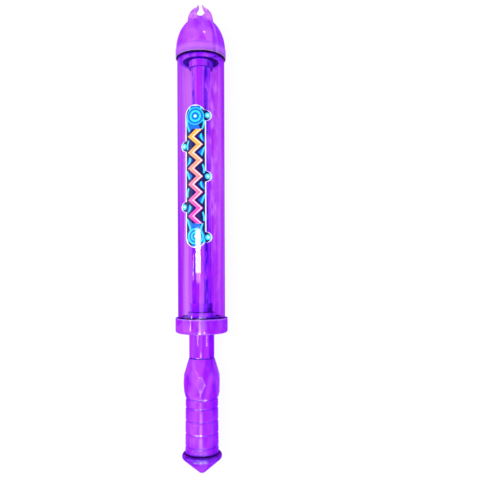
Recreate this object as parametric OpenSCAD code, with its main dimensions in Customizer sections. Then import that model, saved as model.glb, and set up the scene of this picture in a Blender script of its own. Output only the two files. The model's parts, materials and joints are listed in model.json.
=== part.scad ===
// Plunger water squirter: a clear barrel with a bullet nose, a sliding plunger and a moulded grip.
// Every piece is drawn along the barrel axis, with z = 0 on the collar's lower face and z rising to
// the nozzle, and is then laid on its side: +X is the way the jet leaves and +Z is up.

/* [Barrel] */
// Outside diameter of the barrel tube
barrel_od = 45; // [38:0.5:54]
// Wall of the barrel tube
barrel_wall = 1.5; // [1:0.1:2.5]
// Length of the barrel tube
barrel_len = 266.5; // [200:0.5:340]

/* [Nose cap] */
// Wall of the skirt that slips over the barrel's end
skirt_wall = 1.4; // [1.4:0.1:3]
// Length of barrel that the skirt covers
skirt_len = 8; // [6:0.5:16]
// Width of the lead-in at the skirt's mouth
lead_w = 0.8; // [0.3:0.1:1]
// Depth of the lead-in at the skirt's mouth
lead_depth = 3; // [1:0.5:5]
// Step from the skirt in to the bullet nose
nose_step = 0.5; // [0.2:0.1:1]
// Height of the bullet nose above the barrel's end
nose_height = 31.5; // [26:0.1:42]
// Wall of the hollow nose
nose_wall = 2.2; // [1.6:0.1:3]

/* [Nozzle tip] */
// Radius of the tip where it stands on the nose
tip_r = 12.2; // [10.5:0.1:14]
// Height of the tip above the top of the nose
tip_rise = 11; // [10.6:0.1:15]
// Thickness between the tip's two finger flats
tip_flats = 8.4; // [8:0.1:11]
// Diameter of the hanging eye
eye_d = 8.6; // [6:0.1:8.8]
// Floor left between the nose and the eye
eye_floor = 1; // [0.8:0.1:1.6]
// Width of the jet slot where it leaves the eye
slot_w = 5; // [3.6:0.1:5.4]
// Width of the jet slot at the very top
slot_top_w = 3.2; // [2.4:0.1:3.6]
// Height over which the jet slot narrows
slot_taper = 1.4; // [1:0.1:2.4]
// Radius of the nipple on the tip
nipple_r = 2.9; // [2.4:0.1:3.6]
// Height of the nipple above the tip's round outline
nipple_h = 1.1; // [0.6:0.1:1.6]
// Diameter of the spigot that seats in the nose
spigot_d = 9.6; // [8:0.1:11]
// Length of the spigot below the top of the nose
spigot_len = 8; // [6:0.5:10]
// Diameter of the water passage in the spigot
passage_d = 6; // [4:0.1:6.4]
// Diameter of the jet orifice
orifice_d = 2; // [1.2:0.1:3]

/* [Collar and guide] */
// Height of the end collar
collar_h = 14.5; // [12:0.5:22]
// Wall of the collar outside the barrel
collar_wall = 2.4; // [1.6:0.1:4]
// Thickness of the collar's floor
collar_floor = 4; // [3:0.5:6]
// Rounding of the collar's lower edge
collar_round = 2.4; // [1:0.1:3.6]
// Rounding of the collar's upper edge
collar_rim_round = 0.8; // [0.3:0.1:0.8]
// Wall of the collar's plug inside the barrel
plug_wall = 2.4; // [1.6:0.1:4]
// Height of the plug above the collar's rim
plug_rise = 1.3; // [0.5:0.1:4]
// Wall of the guide sleeve around the rod
neck_wall = 2.4; // [1.6:0.1:3]
// Length of the guide sleeve below the collar
neck_len = 23.7; // [14:0.1:34]
// Width of the guide sleeve's flange
flange_lip = 1.3; // [0.8:0.1:2]
// Height of the guide sleeve's flange above the collar's floor
flange_h = 16.1; // [14:0.1:24]
// Wall of the stop bumper
bumper_wall = 1.3; // [1:0.1:1.7]
// Height of the stop bumper
bumper_h = 8.2; // [5:0.1:14]

/* [Plunger] */
// Outside diameter of the plunger rod
rod_od = 19; // [14:0.5:20]
// Wall of the plunger rod
rod_wall = 1.75; // [1.2:0.05:3]
// Thickness of the piston's crown
crown_t = 2.5; // [2:0.1:4]
// Height of the piston's skirt
piston_h = 9.8; // [8:0.1:14]
// Wall of the piston behind the seal groove
piston_wall = 1.4; // [1:0.1:2]
// Depth of the piston's rod socket below the crown
piston_socket = 13.6; // [11:0.1:20]
// Wall of the rod sockets on the piston and in the grip
socket_wall = 1.8; // [1.2:0.1:2.4]
// Space between the piston and the barrel's upper end with the plunger home
piston_home = 2; // [1:0.1:6]
// Section diameter of the piston's sealing ring
ring_d = 2.2; // [1.6:0.1:3]
// Height of the sealing ring above the piston's lower rim
ring_up = 2.4; // [2.2:0.1:4]

/* [Grip] */
// Length of the grip from its mouth to the pommel
grip_len = 90; // [76:0.5:120]
// Radius of the grip's bulb
bulb_r = 17.7; // [16.5:0.1:20]
// Depth of the bulb's widest ring below the mouth
bulb_depth = 23; // [18:0.5:28]
// Length of the bulb from the mouth to the ringed grip
bulb_len = 38.5; // [34:0.5:46]
// Radius of the ringed grip below the bulb
grip_r = 15.5; // [14.8:0.1:16.4]
// Extra radius of the ringed grip at the pommel
grip_flare = 0.5; // [0:0.1:1]
// Wall of the hollow grip
grip_wall = 2; // [1.4:0.1:2.6]
// Depth of the rod socket in the grip
grip_socket = 30; // [20:0.5:40]
// Number of ring grooves round the grip
groove_count = 4; // [2:1:5]
// Spacing of the ring grooves
groove_pitch = 12.3; // [8:0.1:14]
// Distance from the pommel to the first ring groove
groove_first = 5.8; // [4:0.1:8]
// Depth of a ring groove
groove_depth = 0.7; // [0.3:0.1:0.8]
// Rounding of a ring groove's floor
groove_round = 0.85; // [0.8:0.05:1.5]
// Number of facets round the bulb
facet_count = 8; // [6:1:12]
// Number of staggered rows of facets on the bulb
facet_rows = 4; // [2:1:5]
// Depth of a facet at its middle
facet_inset = 0.6; // [0.2:0.05:0.8]

/* [Pommel] */
// Length of the pommel below the grip
pommel_len = 21; // [16:0.5:28]
// Radius of the pommel's rim
pommel_r = 19.2; // [17.6:0.1:22]
// Rounding of the pommel's rim
pommel_round = 3.4; // [2:0.1:4]
// Rounding of the pommel's point
point_round = 5; // [3:0.1:6]
// Number of ring grooves round the pommel's cone
cone_rings = 2; // [1:1:3]
// Depth of a ring groove on the pommel's cone
cone_ring_depth = 0.5; // [0.2:0.1:0.8]
// Height of the sloping shoulder between the pommel's rim and the grip
shoulder_h = 0.8; // [0.4:0.1:1.2]
// Angle at which the rim's rounding meets the shoulder
shoulder_angle = 75; // [60:1:80]
// Length of the pommel's spigot in the grip
pommel_plug = 9; // [6:0.5:14]
// Wall of the hollow pommel
pommel_wall = 2.4; // [1.8:0.1:3.2]

/* [Label] */
// Length of the printed label
label_len = 132; // [80:1:150]
// Width of the label's straight band
label_w = 19.5; // [14:0.5:24]
// Number of round lobes on the label's edges
label_lobes = 5; // [3:1:7]
// Thickness of the label
label_t = 0.2; // [0.1:0.05:0.4]
// Distance from the collar's rim to the label's lower end
label_up = 66; // [20:1:90]
// Turn of the label round the barrel, away from the front
label_turn = -9; // [-30:1:30]

/* [Clearances] */
// Gap of a glued or plugged joint
glue_gap = 0.1; // [0.05:0.01:0.2]
// Gap round the rod in its guide
run_gap = 0.1; // [0.05:0.01:0.1]
// Gap between the piston's skirt and the bore
piston_gap = 0.3; // [0.2:0.05:0.6]
// Gap round the sealing ring, to the bore and in its groove
ring_gap = 0.1; // [0.05:0.01:0.2]
// Gap between the grip's mouth and the guide sleeve with the plunger home
home_gap = 0.4; // [0.3:0.1:1]

/* [Hidden] */
$fn = 96;

// Colours of the moulded pieces
clear_violet = [0.62, 0.22, 0.98, 0.55];
cap_violet = [0.74, 0.33, 0.99];
grip_violet = [0.68, 0.22, 0.98, 0.85];
seal_colour = [0.16, 0.05, 0.42];
label_blue = [0.04, 0.42, 0.86];

// Angle between two points of a drawn arc
arc_step = 6;
// Overlap of a cutting solid past the face that it opens
cut_over = 1;

// Radii from the barrel outwards and inwards
barrel_r = barrel_od / 2;
bore_r = barrel_r - barrel_wall;
pocket_r = barrel_r + glue_gap;
skirt_r = pocket_r + skirt_wall;
nose_r = skirt_r - nose_step;
collar_r = pocket_r + collar_wall;
plug_r = bore_r - glue_gap;
piston_r = bore_r - piston_gap;
ring_mid_r = bore_r - ring_gap - ring_d / 2;
groove_floor_r = ring_mid_r - ring_d / 2 - ring_gap;

// Radii from the rod outwards
rod_r = rod_od / 2;
guide_r = rod_r + run_gap;
neck_r = guide_r + neck_wall;
flange_r = neck_r + flange_lip;
socket_r = rod_r + glue_gap;
boss_r = socket_r + socket_wall;
spigot_r = spigot_d / 2;

// Heights along the axis, from the collar's lower face
barrel_bottom = collar_floor;
barrel_top = barrel_bottom + barrel_len;
nose_top = barrel_top + nose_height;
tip_top = nose_top + tip_rise;
eye_z = nose_top + eye_floor + eye_d / 2;
piston_top = barrel_top - piston_home;
rod_top = piston_top - crown_t;
ring_z = piston_top - piston_h + ring_up;
grip_mouth = -neck_len - home_gap;
rod_bottom = grip_mouth - grip_socket;
pommel_seat = grip_mouth - grip_len;
pommel_point = pommel_seat - pommel_len;

// The part lies on its widest ring, with its ends at equal distances from the origin
lie_height = max(collar_r, skirt_r);
middle = (tip_top + pommel_point) / 2;

// Height of the nose above the barrel's end at a radius
function nose_h_at(r) = nose_height * sqrt(1 - pow(r / nose_r, 2));

// Points of an ellipse between two angles
function ellipse_arc(a, b, z, from, to) = [
    for (i = [0 : ceil(abs(to - from) / arc_step)])
        let (t = from + (to - from) * i / ceil(abs(to - from) / arc_step))
            [a * cos(t), z + b * sin(t)]
];

// Points of a round corner about a centre, between two angles
function corner(r, z, radius, from, to) = [
    for (p = ellipse_arc(radius, radius, z, from, to)) [p[0] + r, p[1]]
];

// An outline's right half, closed by its mirror image
function with_mirror(half) = concat(half, [for (i = [len(half) - 1 : -1 : 0]) [-half[i][0], half[i][1]]]);

// Radius of the grip's outside at a depth below its mouth
grip_mouth_r = neck_r + glue_gap;
function grip_r_at(d) =
    d < bulb_depth ? grip_mouth_r + (bulb_r - grip_mouth_r) * sin(90 * d / bulb_depth)
    : d < bulb_len ? grip_r + (bulb_r - grip_r) * cos(90 * (d - bulb_depth) / (bulb_len - bulb_depth))
    : grip_r + grip_flare * (d - bulb_len) / (grip_len - bulb_len);

// Outlines of the grip's two stretches, set in from the outside by a wall
bulb_steps = 14;
bulb_end = grip_mouth - bulb_len;
function bulb_outline(inset) = [
    for (i = [0 : bulb_steps]) let (d = bulb_len * i / bulb_steps) [grip_r_at(d) - inset, grip_mouth - d]
];
function ringed_outline(inset) = [[grip_r - inset, bulb_end], [grip_r + grip_flare - inset, pommel_seat]];

// Lays a piece on its side: its front, along x, turns up, and the nozzle points along +X
module laid() {
    translate([-middle, 0, lie_height]) rotate([0, 90, 0]) rotate([0, 0, 180]) children();
}

// A ring or tube about the axis
module tube(outer_r, inner_r, bottom, top) {
    rotate_extrude() translate([inner_r, bottom]) square([outer_r - inner_r, top - bottom]);
}

module barrel_tube() {
    color(clear_violet) laid() tube(barrel_r, bore_r, barrel_bottom, barrel_top);
}

module nose_cap() {
    hollow_r = nose_r - nose_wall;
    hollow_h = nose_height - nose_wall;
    rim_round = (skirt_wall - lead_w) / 2;
    outside = concat(
        corner(skirt_r - rim_round, barrel_top - skirt_len + rim_round, rim_round, -90, 0),
        [[skirt_r, barrel_top]],
        ellipse_arc(nose_r, nose_height, barrel_top, 0, 90)
    );
    inside = concat(
        ellipse_arc(hollow_r, hollow_h, barrel_top, 90, 0),
        [
            [pocket_r, barrel_top], [pocket_r, barrel_top - skirt_len + lead_depth],
            [pocket_r + lead_w, barrel_top - skirt_len]
        ]
    );
    color(cap_violet) laid() difference() {
        union() {
            rotate_extrude() polygon(concat(outside, inside));
            spigot_boss();
        }
        translate([0, 0, nose_top - spigot_len - cut_over])
            cylinder(r = spigot_r + glue_gap, h = spigot_len + 2 * cut_over);
    }
}

// Boss inside the nose that holds the nozzle's spigot
module spigot_boss() {
    boss_top = barrel_top + nose_h_at(spigot_r + glue_gap + socket_wall) - nose_wall / 2;
    translate([0, 0, nose_top - spigot_len])
        cylinder(r = spigot_r + glue_gap + socket_wall, h = boss_top - nose_top + spigot_len);
}

module nozzle_tip() {
    seat_angle = acos(tip_r / nose_r);
    base_z = barrel_top + nose_h_at(tip_r);
    lug_h = tip_top - nipple_h - base_z;
    body = concat(
        ellipse_arc(nose_r, nose_height, barrel_top, 90, seat_angle),
        ellipse_arc(tip_r, lug_h, base_z, arc_step, acos(nipple_r / tip_r)),
        [[nipple_r, tip_top], [0, tip_top]]
    );
    color(clear_violet) laid() difference() {
        union() {
            intersection() {
                rotate_extrude() polygon(body);
                translate([-tip_flats / 2, -tip_r - cut_over, base_z - cut_over])
                    cube([tip_flats, 2 * (tip_r + cut_over), tip_top - base_z + 2 * cut_over]);
            }
            translate([0, 0, nose_top - spigot_len]) cylinder(r = spigot_r, h = spigot_len + eye_floor / 2);
        }
        keyhole();
        translate([0, 0, nose_top - spigot_len - cut_over])
            cylinder(d = passage_d, h = spigot_len + cut_over - eye_floor);
        cylinder(d = orifice_d, h = eye_z);
    }
}

// Window through the tip: the hanging eye, with a slot above it that lets the jet out
module keyhole() {
    slot_h = tip_top - eye_z;
    translate([-tip_flats, 0, eye_z]) rotate([90, 0, 90]) linear_extrude(2 * tip_flats) {
        circle(d = eye_d);
        half_slot = [
            [slot_w / 2, 0], [slot_w / 2, slot_h - slot_taper], [slot_top_w / 2, slot_h],
            [slot_top_w / 2, slot_h + cut_over]
        ];
        polygon(with_mirror(half_slot));
    }
}

module end_collar() {
    section = concat(
        [[neck_r + glue_gap, 0]],
        corner(collar_r - collar_round, collar_round, collar_round, -90, 0),
        corner(collar_r - collar_rim_round, collar_h - collar_rim_round, collar_rim_round, 0, 90),
        [
            [pocket_r, collar_h], [pocket_r, barrel_bottom], [plug_r, barrel_bottom],
            [plug_r, collar_h + plug_rise], [plug_r - plug_wall, collar_h + plug_rise],
            [plug_r - plug_wall, barrel_bottom], [neck_r + glue_gap, barrel_bottom]
        ]
    );
    color(cap_violet) laid() rotate_extrude() polygon(section);
}

module guide_sleeve() {
    section = [
        [guide_r, -neck_len], [neck_r, -neck_len], [neck_r, collar_floor], [flange_r, collar_floor],
        [flange_r, collar_floor + flange_h], [guide_r, collar_floor + flange_h]
    ];
    color(clear_violet) laid() rotate_extrude() polygon(section);
}

module stop_bumper() {
    bottom = collar_floor + flange_h;
    color(seal_colour) laid() tube(guide_r + bumper_wall, guide_r, bottom, bottom + bumper_h);
}

// Outline of the label, lying along its length: a band with round ends and round lobes on its edges
module label_outline() {
    end_r = label_w / 2;
    lobe_r = label_w / 4;
    lobe_pitch = (label_len - 2 * end_r) / (label_lobes - 1);
    translate([-end_r, end_r]) square([label_w, label_len - 2 * end_r]);
    for (z = [end_r, label_len - end_r]) translate([0, z]) circle(r = end_r);
    for (i = [0 : label_lobes - 1]) {
        side = i % 2 == 0 ? 1 : -1;
        translate([side * end_r, end_r + i * lobe_pitch]) circle(r = lobe_r);
    }
}

module label() {
    color(label_blue) laid() rotate([0, 0, label_turn]) intersection() {
        tube(barrel_r + label_t, barrel_r, collar_h, barrel_top);
        translate([0, 0, collar_h + label_up]) rotate([90, 0, 90]) linear_extrude(barrel_od) label_outline();
    }
}

module piston() {
    low = piston_top - piston_h;
    inner_r = groove_floor_r - piston_wall;
    half_groove = ring_d / 2 + ring_gap;
    section = [
        [0, piston_top], [0, rod_top], [socket_r, rod_top],
        [socket_r, rod_top - piston_socket], [boss_r, rod_top - piston_socket],
        [boss_r, rod_top], [inner_r, rod_top], [inner_r, low], [piston_r, low],
        [piston_r, ring_z - half_groove], [groove_floor_r, ring_z - half_groove],
        [groove_floor_r, ring_z + half_groove], [piston_r, ring_z + half_groove],
        [piston_r, piston_top]
    ];
    color(cap_violet) laid() rotate_extrude() polygon(section);
}

module piston_ring() {
    color(seal_colour) laid() rotate_extrude() translate([ring_mid_r, ring_z]) circle(d = ring_d);
}

module plunger_rod() {
    color(clear_violet) laid() tube(rod_r, rod_r - rod_wall, rod_bottom, rod_top);
}

module grip() {
    floor_bottom = rod_bottom - grip_wall;
    color(grip_violet) laid() difference() {
        union() {
            difference() {
                rotate_extrude() polygon(concat([[0, bulb_end], [0, grip_mouth]], bulb_outline(0)));
                bulb_facets();
            }
            rotate_extrude() polygon(concat([[0, pommel_seat], [0, bulb_end]], ringed_outline(0)));
        }
        difference() {
            rotate_extrude() polygon(concat(
                [[0, pommel_seat - cut_over], [0, grip_mouth - grip_wall]],
                [for (p = bulb_outline(grip_wall)) if (p[1] < grip_mouth - grip_wall) p],
                ringed_outline(grip_wall),
                [[grip_r + grip_flare - grip_wall, pommel_seat - cut_over]]
            ));
            translate([0, 0, floor_bottom]) cylinder(r = boss_r, h = grip_mouth - floor_bottom);
        }
        translate([0, 0, rod_bottom]) cylinder(r = socket_r, h = grip_socket + cut_over);
        ring_grooves();
    }
}

// Round grooves at an even pitch from the pommel, and one more where the bulb begins
module ring_grooves() {
    evenly = [for (i = [0 : groove_count - 1]) pommel_seat + groove_first + i * groove_pitch];
    for (z = concat(evenly, bulb_end))
        rotate_extrude()
            translate([grip_r_at(grip_mouth - z) + groove_round - groove_depth, z]) circle(r = groove_round);
}

// Flats cut across the bulb in staggered rows, so that the ridges between them cross in diamonds
module bulb_facets() {
    // A cube of this size cuts off all that lies past one flat
    cutter = 3 * bulb_r;
    row_pitch = bulb_len / (facet_rows + 1);
    slope_step = 1;
    for (row = [1 : facet_rows]) {
        d = row * row_pitch;
        slope = atan((grip_r_at(d + slope_step) - grip_r_at(d - slope_step)) / (2 * slope_step));
        for (k = [0 : facet_count - 1])
            rotate([0, 0, 360 / facet_count * (k + (row - 1) / 2)])
                translate([grip_r_at(d) - facet_inset, 0, grip_mouth - d])
                    rotate([0, -slope, 0]) translate([0, -cutter / 2, -cutter / 2]) cube(cutter);
    }
}

module pommel_plug() {
    plug = grip_r + grip_flare - grip_wall - glue_gap;
    plug_top = pommel_seat + pommel_plug;
    rim = [pommel_r - pommel_round, pommel_seat - pommel_round - shoulder_h];
    point = [0, pommel_point + point_round];
    // The cone runs tangent from the point's rounding to the rim's rounding, and its normal points out
    run = rim - point;
    tangent = atan2(run[1], run[0]) + asin((point_round - pommel_round) / norm(run)) - 90;
    normal = [cos(tangent), sin(tangent)];
    section = concat(
        [[0, plug_top], [0, pommel_point]],
        corner(point[0], point[1], point_round, -90 + arc_step, tangent),
        corner(rim[0], rim[1], pommel_round, tangent, shoulder_angle),
        [[grip_r + grip_flare, pommel_seat], [plug, pommel_seat], [plug, plug_top]]
    );
    cone_bottom = point + point_round * normal;
    cone = rim + pommel_round * normal - cone_bottom;
    // The hollow is no wider than its mouth, and its floor lies one wall inside the cone
    hollow_r = plug - pommel_wall;
    floor_start = cone_bottom - pommel_wall * normal;
    floor_rise = (hollow_r - floor_start[0]) * cone[1] / cone[0];
    hollow = [
        [0, plug_top + cut_over], [0, floor_start[1]], floor_start, [hollow_r, floor_start[1] + floor_rise],
        [hollow_r, plug_top + cut_over]
    ];
    color(grip_violet) laid() difference() {
        rotate_extrude() polygon(section);
        rotate_extrude() polygon(hollow);
        for (i = [1 : cone_rings])
            rotate_extrude() translate(cone_bottom + cone * i / (cone_rings + 1)) circle(r = cone_ring_depth);
    }
}

barrel_tube();
nose_cap();
nozzle_tip();
end_collar();
guide_sleeve();
stop_bumper();
label();
piston();
piston_ring();
plunger_rod();
grip();
pommel_plug();
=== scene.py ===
"""Plunger water squirter: the looks of every piece, built round the CAD frame as an add-on's operators."""

import json
import math

import bmesh
import bpy
from bpy.props import FloatProperty, FloatVectorProperty, IntProperty, PointerProperty
from bpy.types import Operator, Panel, PropertyGroup
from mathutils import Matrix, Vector


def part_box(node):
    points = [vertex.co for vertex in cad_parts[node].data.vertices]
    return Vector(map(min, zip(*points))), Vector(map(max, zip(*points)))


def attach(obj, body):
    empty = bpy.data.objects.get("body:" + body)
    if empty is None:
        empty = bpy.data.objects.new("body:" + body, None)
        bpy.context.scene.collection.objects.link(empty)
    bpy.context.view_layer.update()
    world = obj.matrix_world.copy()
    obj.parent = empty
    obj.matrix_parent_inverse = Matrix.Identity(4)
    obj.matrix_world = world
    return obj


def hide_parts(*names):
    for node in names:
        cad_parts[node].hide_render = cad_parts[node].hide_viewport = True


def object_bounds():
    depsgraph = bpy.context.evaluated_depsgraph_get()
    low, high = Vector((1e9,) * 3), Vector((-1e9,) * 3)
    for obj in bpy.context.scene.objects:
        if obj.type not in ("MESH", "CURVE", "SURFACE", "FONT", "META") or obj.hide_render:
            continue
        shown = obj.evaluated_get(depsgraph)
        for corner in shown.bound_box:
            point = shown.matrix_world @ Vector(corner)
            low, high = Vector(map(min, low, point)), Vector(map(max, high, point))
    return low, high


bl_info = {
    "name": "Plunger Water Squirter",
    "version": (1, 0, 0),
    "blender": (4, 5, 0),
    "location": "View3D > Sidebar > Squirter",
    "description": "Dresses a clear plunger water squirter round its CAD frame",
    "category": "Add Mesh",
}

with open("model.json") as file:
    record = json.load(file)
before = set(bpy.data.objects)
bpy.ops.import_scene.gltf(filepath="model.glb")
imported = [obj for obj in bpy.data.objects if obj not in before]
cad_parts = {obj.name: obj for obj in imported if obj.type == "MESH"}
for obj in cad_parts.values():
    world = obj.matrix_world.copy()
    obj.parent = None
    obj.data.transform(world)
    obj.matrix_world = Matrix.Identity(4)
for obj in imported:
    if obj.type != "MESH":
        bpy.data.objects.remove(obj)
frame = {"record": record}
CAD_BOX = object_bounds()

MM = 0.001
# Segments round the axis, and segments of a rounded edge
TURN_STEPS = 240
EDGE_STEPS = 5
# How far from its corner the loop that supports a rounded edge stands, in lengths of the edge's tangent
EDGE_SUPPORT = 1.6
# Largest share of a side that the rounding at one of its ends takes
EDGE_SHARE = 0.45
# Radius under which a point of an outline lies on the axis
ON_AXIS = 1e-6
# Roundings of the edges in joints, of thin rims, of the ends of skirts and plugs, and of softer edges
FINE, THIN, BLUNT, SOFT = 0.2 * MM, 0.3 * MM, 0.5 * MM, 0.6 * MM
# Slight step, or the slack of a bound
HAIR = 0.1 * MM


def span(node):
    """Lowest and highest x of a CAD node."""
    low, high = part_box(node)
    return low.x, high.x


def radius(node):
    """Largest radius of a CAD node about the barrel axis."""
    low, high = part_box(node)
    return (high.y - low.y) / 2


AXIS_Z = sum(corner.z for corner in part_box("barrel_tube")) / 2
EYE = frame["record"]["mounts"][0]


def length(name, description, millimetres):
    """A size in metres, given in millimetres."""
    return FloatProperty(
        name=name, description=description, default=millimetres * MM, min=0, precision=5, unit="LENGTH"
    )


def tint(name, description, red, green, blue):
    """A colour, given in linear light."""
    return FloatVectorProperty(
        name=name, description=description, default=(red, green, blue), min=0, max=1, subtype="COLOR"
    )


class SquirterSizes(PropertyGroup):
    """Sizes of the mouldings that the CAD nodes' boxes don't give."""

    edge: length("Edge rounding", "Radius of the moulded edges", 0.35)
    barrel_wall: length("Barrel wall", "Wall of the barrel tube", 1.5)
    skirt_len: length("Skirt length", "Length of barrel that the nose cap covers", 8)
    skirt_lead: length("Skirt lead-in", "Width of the lead-in at the skirt's mouth", 0.8)
    lead_depth: length("Lead-in depth", "Depth of the lead-in at the skirt's mouth", 3)
    nose_step: length("Nose step", "Step from the skirt in to the nose", 0.5)
    nose_height: length("Nose height", "Height of the nose above the barrel's end", 31.5)
    nose_wall: length("Nose wall", "Wall of the hollow nose", 2.2)
    tip_flats: length("Tip thickness", "Thickness between the tip's flats", 8.4)
    tip_edge: length("Tip edge", "Rounding of the tip's outline", 0.5)
    slot_w: length("Slot width", "Width of the jet slot above the eye", 5)
    slot_top_w: length("Slot mouth", "Width of the jet slot at the top", 3.2)
    slot_taper: length("Slot taper", "Height over which the jet slot narrows", 1.4)
    nipple_r: length("Nipple radius", "Radius of the nipple on the tip", 2.9)
    nipple_h: length("Nipple height", "Height of the nipple above the tip's outline", 1.1)
    spigot_len: length("Spigot length", "Length of the tip's spigot in the nose", 8)
    spigot_r: length("Spigot radius", "Radius of the tip's spigot", 4.8)
    passage_r: length("Passage radius", "Radius of the water passage in the spigot", 3)
    orifice_r: length("Orifice radius", "Radius of the jet orifice", 1)
    socket_wall: length("Socket wall", "Wall of the sockets and the spigot's boss", 1.8)
    collar_h: length("Collar height", "Height of the collar's outside", 14.5)
    collar_floor: length("Collar floor", "Thickness of the collar's floor", 4)
    collar_round: length("Collar rounding", "Rounding of the collar's lower edge", 2.4)
    plug_wall: length("Plug wall", "Wall of the collar's plug in the barrel", 2.4)
    joint_shade: length("Joint shade", "Width of the shaded joint under the nose cap's rim", 1.5)
    glue_gap: length("Glue gap", "Gap of a glued or plugged joint", 0.1)
    rod_wall: length("Rod wall", "Wall of the plunger rod", 1.75)
    neck_r: length("Neck radius", "Outer radius of the guide sleeve", 12)
    neck_bore: length("Neck bore", "Bore of the guide sleeve and stop bumper", 9.6)
    crown: length("Piston crown", "Thickness of the piston's crown", 2.5)
    piston_h: length("Piston height", "Height of the piston's skirt", 9.8)
    piston_inner: length("Piston inner radius", "Inner radius of the piston's skirt", 17.2)
    ring_d: length("Ring section", "Section diameter of the piston's ring", 2.2)
    ring_gap: length("Ring gap", "Gap round the piston's ring in its groove", 0.1)
    bulb_r: length("Bulb radius", "Radius of the grip's bulb", 17.7)
    bulb_depth: length("Bulb depth", "Depth of the bulb's widest ring below the mouth", 23)
    bulb_len: length("Bulb length", "Length of the bulb", 38.5)
    grip_r: length("Grip radius", "Radius of the ringed grip below the bulb", 15.5)
    grip_flare: length("Grip flare", "Extra radius of the grip at the pommel", 0.5)
    grip_wall: length("Grip wall", "Wall of the hollow grip", 2)
    grip_socket: length("Grip socket", "Depth of the rod socket in the grip", 30)
    groove_count: IntProperty(name="Grooves", description="Ring grooves round the grip", default=4, min=0)
    groove_pitch: length("Groove pitch", "Spacing of the ring grooves", 12.3)
    groove_first: length("First groove", "Distance from the pommel to the first groove", 5.8)
    groove_depth: length("Groove depth", "Depth of a ring groove", 0.7)
    facet_count: IntProperty(name="Facets", description="Facets round the bulb", default=8, min=3)
    facet_rows: IntProperty(name="Facet rows", description="Staggered rows of facets", default=4, min=1)
    facet_inset: length("Facet depth", "Depth of a facet at its middle", 0.95)
    facet_share: FloatProperty(
        name="Facet share", description="How flat the facets are, from round to flat",
        default=0.85, min=0, max=1,
    )
    mouth_fade: length("Mouth fade", "Depth over which the facets run out towards the mouth", 13)
    foot_fade: length("Foot fade", "Height over which the facets run out towards the ringed grip", 3)
    ripple: length("Ripple", "Height of each of the two fine ripples in the bulb's surface", 0.03)
    ridge_reach: length("Ridge reach", "Height over which two facets run into their ridge", 0.5)
    ridge_bead: length("Ridge bead", "Height of the bead along a ridge", 0.36)
    pommel_round: length("Pommel rounding", "Rounding of the pommel's rim", 3.4)
    point_round: length("Point rounding", "Rounding of the pommel's point", 5)
    shoulder_h: length("Shoulder height", "Height of the slope between the pommel's rim and the grip", 0.8)
    pommel_wall: length("Pommel wall", "Wall of the hollow pommel", 2.4)
    cone_rings: IntProperty(name="Cone rings", description="Ring grooves on the pommel", default=2, min=0)
    cone_ring_depth: length("Cone ring depth", "Depth of a ring groove on the pommel", 0.5)
    label_w: length("Label width", "Width of the label's straight band", 19.5)
    label_border: length("Label border", "Width of the label's white border", 1.1)
    label_t: length("Label thickness", "Thickness of the label", 0.16)
    label_turn: FloatProperty(
        name="Label turn", description="Turn of the label round the barrel",
        default=math.radians(-9), unit="ROTATION",
    )


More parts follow.
